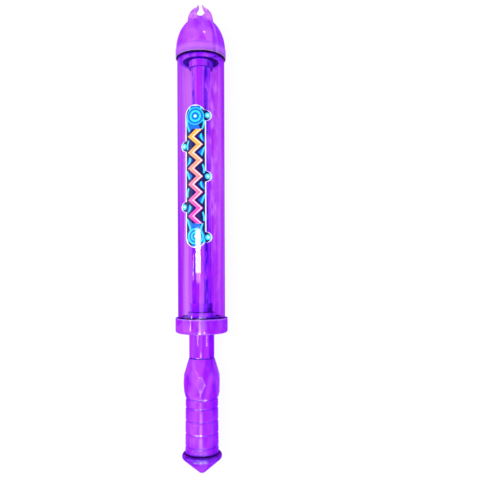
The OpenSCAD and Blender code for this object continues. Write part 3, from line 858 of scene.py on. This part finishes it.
class SQUIRTER_OT_collar(Operator):
    """End collar with its plug, and the clear guide sleeve that it holds"""

    bl_idname = "squirter.collar"
    bl_label = "Collar and guide"

    def execute(self, context):
        sizes = context.scene.squirter_sizes
        low, plug_top = span("end_collar")
        rim = low + sizes.collar_h
        floor = low + sizes.collar_floor
        outer = radius("end_collar")
        hole = sizes.neck_r + sizes.glue_gap
        pocket = radius("barrel_tube") + sizes.glue_gap
        plug = radius("barrel_tube") - sizes.barrel_wall - sizes.glue_gap
        inner = plug - sizes.plug_wall
        edge = sizes.edge
        rim_round, fillet = 0.7 * MM, 0.8 * MM
        collar = [
            (low, hole, edge), (low, outer, sizes.collar_round), (rim, outer, rim_round), (rim, pocket, edge),
            (floor, pocket, FINE), (floor, plug, FINE), (rim, plug, 0), (plug_top, plug, edge),
            (plug_top, inner, edge), (rim, inner, 0), (floor, inner, fillet), (floor, hole, edge),
        ]
        # Painted highlights along the collar's rim and lower edge, and painted shade in the joint at the rim
        bands = [("rim", rim, 2.0, 0.5), ("shade", rim, 0.7, 0.95), ("rim", low, 1.2, 0.35)]
        # The plug's top above the rim takes painted shade
        ring = turned(
            "collar_ring", rounded(collar), moulded("collar_plastic", "collar", bands), dark("shade"),
            shaded=lambda x, r: x > rim and r < pocket - edge,
        )
        fit(ring, "barrel", "cap_violet", "end_collar")
        bottom, top = span("guide_sleeve")
        flange = radius("guide_sleeve")
        sleeve = [
            (bottom, sizes.neck_bore, edge), (bottom, sizes.neck_r, SOFT), (floor, sizes.neck_r, FINE),
            (floor, flange, edge), (top, flange, BLUNT), (top, sizes.neck_bore, edge),
        ]
        # The flange is pale between its painted shade along the top edge and the collar
        pale = top - 2.4 * MM
        bands = [("rod_pale", pale, 3.6, 0.8), ("shade", top, 1.1, 0.9), ("shade", bottom, 0.6, 0.8)]
        # Painted shade lines at both sides and near the middle, and a painted highlight near the left edge
        lines = [("shade", 50, 12, 0.45), ("shade", -62, 8, 0.3), ("shade", 8, 4, 0.2), ("rim", -84, 9, 0.5)]
        neck = turned("guide_neck", rounded(sleeve), moulded("sleeve_plastic", "sleeve", bands, lines))
        fit(neck, "barrel", "clear_violet", "guide_sleeve")
        return {"FINISHED"}


class SQUIRTER_OT_piston(Operator):
    """Piston cup with its skirt, seal groove and rod socket"""

    bl_idname = "squirter.piston"
    bl_label = "Piston"

    def execute(self, context):
        sizes = context.scene.squirter_sizes
        socket_low, top = span("piston")
        low = top - sizes.piston_h
        under = top - sizes.crown
        outer = radius("piston")
        skirt = sizes.piston_inner
        socket = radius("plunger_rod") + sizes.glue_gap
        boss = socket + sizes.socket_wall
        ring_low, ring_high = span("piston_ring")
        groove_low, groove_high = ring_low - sizes.ring_gap, ring_high + sizes.ring_gap
        floor = radius("piston_ring") - sizes.ring_d - sizes.ring_gap
        edge = sizes.edge
        corners = [
            (top, 0, 0), (under, 0, 0), (under, socket, edge), (socket_low, socket, edge),
            (socket_low, boss, edge), (low + edge, boss, 0), (under, boss, SOFT), (under, skirt, SOFT),
            (low, skirt, edge), (low, outer, BLUNT), (groove_low, outer, FINE), (groove_low, floor, FINE),
            (groove_high, floor, FINE), (groove_high, outer, FINE), (top, outer, SOFT),
        ]
        bands = [("shade", socket_low, 1.0, 0.95)]
        # Painted shade in streaks at both sides
        lines = [("shade_streak", 42, 20, 0.9), ("shade_streak", -40, 6, 0.8)]
        # The mouth between the skirt and the boss takes painted shade
        obj = turned(
            "piston_cup", rounded(corners), moulded("piston_plastic", "piston", bands, lines), dark("shade"),
            shaded=lambda x, r: low + edge < x < top and boss - HAIR < r < skirt + HAIR,
        )
        fit(obj, "plunger", "cap_violet", "piston")
        return {"FINISHED"}


class SQUIRTER_OT_seals(Operator):
    """Piston ring and stop bumper"""

    bl_idname = "squirter.seals"
    bl_label = "Seals"

    def execute(self, context):
        sizes = context.scene.squirter_sizes
        low, high = span("piston_ring")
        section = sizes.ring_d / 2
        middle = ((low + high) / 2, radius("piston_ring") - section)
        section_steps = 16
        ring = arc(middle, section, section, 0, 2 * math.pi, section_steps)[:-1]
        fit(turned("seal_ring", ring, moulded("ring_rubber", "seal")), "seal", "seal", "piston_ring")
        low, high = span("stop_bumper")
        outer = radius("stop_bumper")
        bore, edge = sizes.neck_bore, sizes.edge
        bumper = rounded([(low, bore, edge), (low, outer, edge), (high, outer, edge), (high, bore, edge)])
        # Painted shade at its lower edge and over its right side
        rubber = moulded("bumper_rubber", "seal", [("shade", low, 0.9, 0.9)], [("shade_streak", 52, 46, 1.0)])
        fit(turned("bumper_ring", bumper, rubber), "barrel", "seal", "stop_bumper")
        return {"FINISHED"}


class SQUIRTER_OT_grip(Operator):
    """Hollow grip with its faceted bulb and ring grooves"""

    bl_idname = "squirter.grip"
    bl_label = "Grip"

    def execute(self, context):
        sizes = context.scene.squirter_sizes
        seat, mouth = span("grip")
        mouth_r = sizes.neck_r + sizes.glue_gap
        total = mouth - seat
        ringed = total - sizes.bulb_len

        def smooth_radius(depth):
            """Radius of the grip at a depth below its mouth, before facets and grooves."""
            if depth < sizes.bulb_depth:
                return mouth_r + (sizes.bulb_r - mouth_r) * math.sin(math.pi / 2 * depth / sizes.bulb_depth)
            if depth < sizes.bulb_len:
                part = (depth - sizes.bulb_depth) / (sizes.bulb_len - sizes.bulb_depth)
                return sizes.grip_r + (sizes.bulb_r - sizes.grip_r) * math.cos(math.pi / 2 * part)
            return sizes.grip_r + sizes.grip_flare * (depth - sizes.bulb_len) / ringed

        facets = []
        slope_step = 1 * MM
        for row in range(1, sizes.facet_rows + 1):
            depth = row * sizes.bulb_len / (sizes.facet_rows + 1)
            flat_r = smooth_radius(depth) - sizes.facet_inset
            rise = smooth_radius(depth + slope_step) - smooth_radius(depth - slope_step)
            for k in range(sizes.facet_count):
                turn = 2 * math.pi / sizes.facet_count * (k + (row - 1) / 2)
                facets.append((depth, flat_r, rise / (2 * slope_step), turn))
        # Cosine of the turn beyond which a facet no longer reaches
        facing_limit = 0.7
        # Waves round the grip and length per radian of the two crossing ripples
        ripples = ((9, 1.9 * MM), (14, -2.7 * MM))

        def relief(x, r, angle, i):
            """Radius with the bulb's flats, beaded ridges and fine ripple, which run out at both ends."""
            depth = mouth - x
            if i >= outside or not 0 < depth < sizes.bulb_len:
                return r
            cut = r
            for middle, flat_r, slope, turn in facets:
                facing = math.cos(angle - turn)
                if facing < facing_limit:
                    continue
                flat = (flat_r + slope * (depth - middle)) / facing
                near = max(1 - abs(cut - flat) / sizes.ridge_reach, 0)
                cut = min(cut, flat) + near * near * (sizes.ridge_bead - sizes.ridge_reach / 4)
            fade = min(1, depth / sizes.mouth_fade, (sizes.bulb_len - depth) / sizes.foot_fade)
            cut += sizes.ripple * sum(math.sin(waves * angle + depth / pitch) for waves, pitch in ripples)
            return r + (cut - r) * fade * sizes.facet_share

        grooves = [total - sizes.groove_first - i * sizes.groove_pitch for i in range(sizes.groove_count)]
        grooves.append(sizes.bulb_len)
        half_width = 2 * sizes.groove_depth
        bulb_step = 0.35 * MM
        bulb_steps = round((sizes.bulb_len - 2 * half_width) / bulb_step)
        depths = [bulb_step * step for step in range(bulb_steps)] + [total]
        # Steps on each side of a groove's middle, and one more that supports its edge
        groove_steps = 8
        for groove in grooves:
            for step in range(-groove_steps - 1, groove_steps + 2):
                depths.append(groove + half_width * step / groove_steps)
        outline = []
        for depth in sorted(depths):
            nearest = min(abs(depth - groove) for groove in grooves)
            cut = dip(nearest, sizes.groove_depth, half_width)
            outline.append((mouth - depth, smooth_radius(depth) - cut))
        outside = len(outline)
        inside = self.hollow(sizes, seat, mouth, outline[-1][1], smooth_radius)
        bands = [("shade", mouth, 0.9, 0.95), ("shade", seat, 1.0, 0.9)]
        bands += [("shade", mouth - groove, 0.9, 0.42) for groove in grooves]
        # Painted shade lines near both sides, and painted highlights just inside both edges
        lines = [
            ("shade_streak", 50, 9, 0.45), ("shade_streak", -50, 8, 0.3), ("shade_streak", -34, 3, 0.25),
            ("shade_streak", -66, 4, 0.3), ("shade_streak", 66, 4, 0.35), ("rim", -78, 9, 0.4), ("rim", 80, 8, 0.3),
        ]
        plastic = moulded("grip_plastic", "grip", bands, lines)
        obj = turned("faceted_grip", outline + inside, plastic, relief=relief)
        fit(obj, "plunger", "grip_violet", "grip")
        return {"FINISHED"}

    def hollow(self, sizes, seat, mouth, seat_r, smooth_radius):
        """Inside of the grip: from its seat up to the socket's boss, then through the socket to the mouth."""
        total = mouth - seat
        socket = radius("plunger_rod") + sizes.glue_gap
        boss = socket + sizes.socket_wall
        floor = mouth - sizes.grip_socket
        under = floor - sizes.grip_wall
        points = [(seat, seat_r - sizes.grip_wall)]
        end_gap = 1 * MM
        steps = 40
        for step in range(steps + 1):
            depth = total - end_gap - (total - sizes.grip_wall - 2 * end_gap) * step / steps
            inner = smooth_radius(depth) - sizes.grip_wall
            if inner > boss + THIN:
                points.append((mouth - depth, inner))
        points += [(points[-1][0] + THIN, boss + HAIR), (under, boss), (under, 0)]
        points += [(floor, 0), (floor, socket), (mouth - FINE, socket), (mouth, socket + FINE)]
        return points


class SQUIRTER_OT_pommel(Operator):
    """Pointed pommel with its ring grooves and its spigot in the grip"""

    bl_idname = "squirter.pommel"
    bl_label = "Pommel"

    def execute(self, context):
        sizes = context.scene.squirter_sizes
        point, plug_top = span("pommel_plug")
        seat = span("grip")[0]
        outer = radius("pommel_plug")
        grip_r = sizes.grip_r + sizes.grip_flare
        plug = grip_r - sizes.grip_wall - sizes.glue_gap
        rim_round, point_round = sizes.pommel_round, sizes.point_round
        rim = Vector((seat - rim_round - sizes.shoulder_h, outer - rim_round))
        nose = Vector((point + point_round, 0))
        run = rim - nose
        lean = math.atan2(run.x, run.y) + math.asin((point_round - rim_round) / run.length) - math.pi / 2
        # The rim's rounding ends on the slope up to the grip
        slope = math.radians(75)
        point_steps, rim_steps, cone_steps = 12, 18, 80
        tip = arc(nose, point_round, point_round, -math.pi / 2, lean, point_steps)
        tip[0] = (point, 0)
        shoulder = arc(rim, rim_round, rim_round, lean, slope, rim_steps)
        start, end = Vector(tip[-1]), Vector(shoulder[0])
        normal = Vector((math.sin(lean), math.cos(lean)))
        rings = [(i + 1) / (sizes.cone_rings + 1) for i in range(sizes.cone_rings)]
        ring_half = 1.5 * sizes.cone_ring_depth
        cone = []
        for step in range(1, cone_steps):
            part = step / cone_steps
            away = min((abs(part - ring) for ring in rings), default=1) * (end - start).length
            cone.append(tuple(start.lerp(end, part) - normal * dip(away, sizes.cone_ring_depth, ring_half)))
        hollow = plug - sizes.pommel_wall
        floor = start - normal * sizes.pommel_wall
        floor_end = floor.x + (hollow - floor.y) * (end - start).x / (end - start).y
        hollow_round, floor_round = 1.5 * MM, 1 * MM
        inside = [
            (seat, grip_r, FINE), (seat, plug, FINE), (plug_top, plug, BLUNT), (plug_top, hollow, THIN),
            (floor_end, hollow, hollow_round), (floor.x, floor.y, floor_round), (floor.x, 0, 0),
        ]
        # Painted shadow in the joint with the grip: darkest on the slope, with painted shade on the rim below
        # it
        joint_low, joint_r, shade_x = seat - 1.25 * MM, grip_r + FINE, seat - 1.7 * MM
        bands = [("shade_streak", rim.x, 3.4, 0.6), ("shade", shade_x, 1.8, 0.85)]
        bands += [("shade", start.lerp(end, ring).x, 0.6, 0.4) for ring in rings]
        # Paler lines at both sides: painted light over the shaded rim
        lines = [("grip", -64, 18, 0.7), ("grip", 72, 14, 0.4)]
        plastic = moulded("pommel_plastic", "grip", bands, lines)
        obj = turned(
            "pommel_point", rounded(sharp(tip + cone + shoulder) + inside), plastic, dark("joint"),
            shaded=lambda x, r: x > joint_low and r > joint_r,
        )
        fit(obj, "plunger", "grip_violet", "pommel_plug")
        return {"FINISHED"}


class SQUIRTER_OT_label(Operator):
    """Printed label wrapped on the barrel"""

    bl_idname = "squirter.label"
    bl_label = "Label"

    def execute(self, context):
        sizes = context.scene.squirter_sizes
        low, high = span("label")
        total = high - low
        border = sizes.label_border
        barrel_r = radius("barrel_tube")
        end_r = sizes.label_w / 2
        lobe_r = sizes.label_w / 4
        lobe_count = 5
        lobe_pitch = (total - 2 * end_r) / (lobe_count - 1)
        lobes = [(end_r + i * lobe_pitch, 1 if i % 2 == 0 else -1) for i in range(lobe_count)]

        def half_width(along, side):
            """Half the label's width on one side, with its round end and lobes."""
            into_end = max(end_r - along, along - (total - end_r), 0)
            width = math.sqrt(max(end_r**2 - into_end**2, 0))
            for middle, lobe_side in lobes:
                if lobe_side == side and abs(along - middle) < lobe_r:
                    width = max(width, end_r + math.sqrt(lobe_r**2 - (along - middle) ** 2))
            return width

        rows, columns = 360, 30
        # Rows crowd towards the round ends
        places = [total * (1 - math.cos(math.pi * row / rows)) / 2 for row in range(rows + 1)]
        into = bmesh.new()
        uv = into.loops.layers.uv.new("label")
        # The back lies on a film of glue
        film = 0.02 * MM
        layers = []
        for r in (barrel_r + film, barrel_r + sizes.label_t):
            grid = []
            for along in places:
                left, right = half_width(along, -1), half_width(along, 1)
                ink_left, ink_right = max(left - border, 0), max(right - border, 0)
                parts = [step / (columns - 2) for step in range(columns - 1)]
                line = []
                for across in (-left, *(-ink_left + (ink_left + ink_right) * part for part in parts), right):
                    angle = math.asin(across / barrel_r) + sizes.label_turn
                    vertex = into.verts.new((low + along, -r * math.sin(angle), AXIS_Z + r * math.cos(angle)))
                    line.append((vertex, (along, across)))
                grid.append(line)
            layers.append(grid)
        back, front = layers

        def face(corners, material):
            made = into.faces.new([vertex for vertex, _ in corners])
            made.material_index = material
            for loop, (_, place) in zip(made.loops, corners):
                loop[uv].uv = place

        for grid in layers:
            for row in range(rows):
                for column in range(columns):
                    inside = 0 < column < columns - 1 and border < places[row] < total - border
                    corners = grid[row][column : column + 2] + grid[row + 1][column : column + 2][::-1]
                    face(corners, 1 if grid is front and inside else 0)
        rim = [(row, 0) for row in range(rows)] + [(rows, column) for column in range(columns)]
        rim += [(row, columns) for row in range(rows, 0, -1)]
        rim += [(0, column) for column in range(columns, 0, -1)]
        for (row, column), (next_row, next_column) in zip(rim, rim[1:] + rim[:1]):
            corners = [back[row][column], back[next_row][next_column]]
            corners += [front[next_row][next_column], front[row][column]]
            face(corners, 0)
        # At its two ends the label is a point, where a whole row falls together
        merge = 0.001 * MM
        bmesh.ops.remove_doubles(into, verts=into.verts, dist=merge)
        bmesh.ops.recalc_face_normals(into, faces=into.faces)
        dot_out = end_r + 0.3 * lobe_r
        dots = [(middle / MM, side * dot_out / MM) for middle, side in lobes]
        obj = new_object(
            "wave_label", into, moulded("label_vinyl", "vinyl"), label_print("label_ink", total / MM, dots)
        )
        fit(obj, "barrel", "label_print", "label")
        return {"FINISHED"}


# Stage


class SQUIRTER_OT_stage(Operator):
    """Pale floor, soft studio lamps and the camera above the part"""

    bl_idname = "squirter.stage"
    bl_label = "Stage"

    def execute(self, context):
        self.floor(context)
        self.world(context)
        self.lamps(context)
        self.camera(context)
        return {"FINISHED"}

    def by_ray(self, nodes, kind, other, **values):
        """Value or colour by the kind of ray that meets the surface; later kinds go before earlier ones."""
        path = nodes.add("ShaderNodeLightPath")
        chosen = other
        for ray, value in values.items():
            chosen = nodes.mix(path[f"Is {ray.title()} Ray"], chosen, value, kind)
        return chosen

    def studio_white(self, nodes, context):
        """White, but violet in reflections, as the part colours the light round itself."""
        white = (1, 1, 1, 1)
        violet = opaque(context.scene.squirter_colours.bounce)
        return self.by_ray(nodes, "RGBA", white, glossy=violet, transmission=white)

    def floor(self, context):
        """Wide plane under the part, pale to the eye but still shadowed."""
        half = 4.0
        mesh = bmesh.new()
        bmesh.ops.create_grid(mesh, x_segments=1, y_segments=1, size=half)
        material, nodes = new_material("studio_floor")
        paint = nodes.add("ShaderNodeBsdfDiffuse", {"Color": opaque(context.scene.squirter_colours.floor)})[0]
        light = self.studio_white(nodes, context)
        glow = nodes.add("ShaderNodeEmission", {"Color": light, "Strength": 1.0})[0]
        share = self.by_ray(nodes, "FLOAT", 0.0, glossy=1.0, transmission=1.0, camera=0.9)
        mixed = nodes.add("ShaderNodeMixShader", {0: share, 1: paint, 2: glow})[0]
        nodes.add("ShaderNodeOutputMaterial", {"Surface": mixed})
        new_object("studio_floor", mesh, material)

    def world(self, context):
        """Even studio light, white where the camera sees it."""
        world = bpy.data.worlds.new("studio")
        context.scene.world = world
        world.use_nodes = True
        nodes = Nodes(world.node_tree)
        strength = self.by_ray(nodes, "FLOAT", 0.8, glossy=0.8, transmission=1.0, camera=1.0)
        light = self.studio_white(nodes, context)
        sky = nodes.add("ShaderNodeBackground", {"Color": light, "Strength": strength})
        nodes.add("ShaderNodeOutputWorld", {"Surface": sky[0]}, is_active_output=True)

    def lamps(self, context):
        """Soft lamps that light the part, and small ones that only shine in its surfaces.

        Each has its place, size and power in watts, and is aimed at the nearest point of the part's axis.
        """
        soft = {
            "window": ((0.0075, 0.124, 0.65), (0.09, 0.276), 2.2),
            "left_sky": ((-0.20, 1.05, 0.55), (1.2, 1.0), 3.8),
            "grip_sheet": ((-0.345, 0.05, 0.66), (0.23, 0.70), 0.75),
        }
        shine = {
            "window_foot": ((-0.047, 0.124, 0.65), (0.019, 0.20), 0.08),
            "window_edge": ((-0.025, 0.44, 0.65), (0.06, 0.035), 0.12),
            "collar_line": ((-0.176, 0.64, 0.65), (0.05, 0.04), 0.25),
            "collar_panel": ((-0.1425, -0.08, 0.65), (0.03, 0.40), 0.08),
            "collar_spot": ((-0.1425, 0.04, 0.65), (0.03, 0.06), 0.03),
            "neck_left": ((-0.189, 0.38, 0.64), (0.03, 0.04), 0.12),
            "neck_right": ((-0.227, -0.78, 0.64), (0.03, 0.06), 0.15),
            "neck_flame": ((-0.213, 0.04, 0.64), (0.022, 0.08), 0.09),
            "grip_panel": ((-0.375, 0.04, 0.64), (0.17, 0.16), 0.30),
            "bulb_tick": ((-0.50, 0.05, 0.64), (0.05, 0.05), 2.5),
            "spark_left": ((-0.255, 0.31, 0.64), (0.03, 0.03), 2.0),
            "spark_middle": ((-0.235, 0.13, 0.64), (0.03, 0.03), 2.0),
            "spark_right": ((-0.265, -0.19, 0.64), (0.03, 0.03), 2.0),
            "glint_left": ((-1.0, 0.45, 0.36), (0.07, 0.50), 9.0),
            "glint_middle": ((-1.0, 0.044, 0.36), (0.07, 0.50), 9.0),
            "glint_right": ((-1.0, -0.29, 0.36), (0.07, 0.50), 9.0),
            "glint_nose": ((0.89, -0.25, 0.64), (0.035, 0.035), 1.2),
        }
        for name, (place, size, power) in {**soft, **shine}.items():
            lamp = bpy.data.lights.new(name, "AREA")
            lamp.shape = "RECTANGLE"
            lamp.size, lamp.size_y = size
            lamp.energy = power
            obj = bpy.data.objects.new(name, lamp)
            context.scene.collection.objects.link(obj)
            obj.location = place
            nearest = min(max(place[0], CAD_BOX[0][0]), CAD_BOX[1][0])
            aim = Vector((nearest, 0, AXIS_Z)) - Vector(place)
            obj.rotation_euler = aim.to_track_quat("-Z", "Y").to_euler()
            obj.visible_diffuse = name in soft

    def camera(self, context):
        """Camera straight above, with the nozzle up in the picture."""
        # In pixels: the picture's side, the focal length and the row below the camera
        picture, focal, foot_row = 490, 540, 268
        # In pixels: the row of the pommel's point and the column of the barrel's axis
        point_row, axis_column = 472.5, 201.5
        # Size of a pixel at the part's axis, and how far the part leans in the picture, in degrees
        scale = 0.9625 * MM
        lean = 0.2
        camera = bpy.data.cameras.new("photo")
        camera.sensor_width = 36
        camera.lens = camera.sensor_width * focal / picture
        camera.clip_start, camera.clip_end = 0.01, 20
        camera.shift_y = (foot_row - picture / 2) / picture
        obj = bpy.data.objects.new("photo", camera)
        context.scene.collection.objects.link(obj)
        context.scene.camera = obj
        obj.location = (
            CAD_BOX[0].x + (point_row - foot_row) * scale,
            -(picture / 2 - axis_column) * scale,
            AXIS_Z + focal * scale,
        )
        obj.rotation_euler = (0, 0, math.radians(-90 - lean))


class SQUIRTER_PT_pieces(Panel):
    """Buttons and settings of the squirter"""

    bl_label = "Water Squirter"
    bl_space_type = "VIEW_3D"
    bl_region_type = "UI"
    bl_category = "Squirter"

    def draw(self, context):
        layout = self.layout
        for operator in PIECES:
            layout.operator(operator.bl_idname)
        for group in (context.scene.squirter_sizes, context.scene.squirter_colours):
            column = layout.column(align=True)
            for name in group.__annotations__:
                column.prop(group, name)


PIECES = (
    SQUIRTER_OT_barrel, SQUIRTER_OT_nose, SQUIRTER_OT_tip, SQUIRTER_OT_collar, SQUIRTER_OT_piston,
    SQUIRTER_OT_seals, SQUIRTER_OT_grip, SQUIRTER_OT_pommel, SQUIRTER_OT_label, SQUIRTER_OT_stage,
)
CLASSES = (SquirterSizes, SquirterColours, *PIECES, SQUIRTER_PT_pieces)


def register():
    for made in CLASSES:
        bpy.utils.register_class(made)
    bpy.types.Scene.squirter_sizes = PointerProperty(type=SquirterSizes)
    bpy.types.Scene.squirter_colours = PointerProperty(type=SquirterColours)


def unregister():
    del bpy.types.Scene.squirter_colours
    del bpy.types.Scene.squirter_sizes
    for made in reversed(CLASSES):
        bpy.utils.unregister_class(made)


def main():
    register()
    bpy.context.scene.view_settings.view_transform = "Standard"
    bpy.ops.squirter.barrel()
    bpy.ops.squirter.nose()
    bpy.ops.squirter.tip()
    bpy.ops.squirter.collar()
    bpy.ops.squirter.piston()
    bpy.ops.squirter.seals()
    bpy.ops.squirter.grip()
    bpy.ops.squirter.pommel()
    bpy.ops.squirter.label()
    bpy.ops.squirter.stage()


if __name__ == "__main__":
    main()
